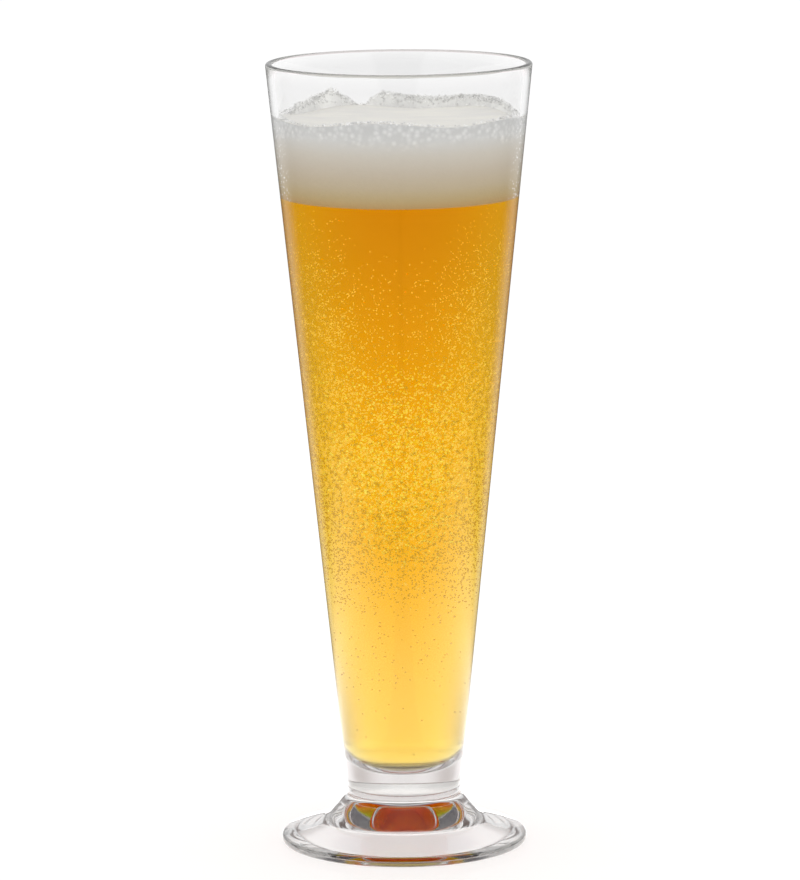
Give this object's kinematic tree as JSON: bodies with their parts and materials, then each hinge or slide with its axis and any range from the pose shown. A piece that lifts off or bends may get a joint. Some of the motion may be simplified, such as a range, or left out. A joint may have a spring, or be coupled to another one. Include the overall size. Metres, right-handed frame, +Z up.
{
  "type": "beer glass",
  "caption": "Tall footed beer glass: a straight tapered bowl fused through a glass wafer to a flared hollow foot, holding amber beer under a pale foam head.",
  "frame": {"origin": "on the table, under the centre of the foot", "axes": "+Z up along the axis of the glass; the picture looks along +Y"},
  "size_m": [0.0788, 0.0788, 0.235],
  "materials": {
    "clear_glass": "polished, colourless",
    "beer": "clear amber liquid with fine rising bubbles",
    "foam": "matt pale froth, tan towards the beer"
  },
  "bodies": {
    "root": {"bowl": "clear_glass", "joining_wafer": "clear_glass", "foot": "clear_glass", "beer": "beer", "foam_head": "foam", "lacing_left": "foam", "lacing_right": "foam"}
  },
  "joints": []
}
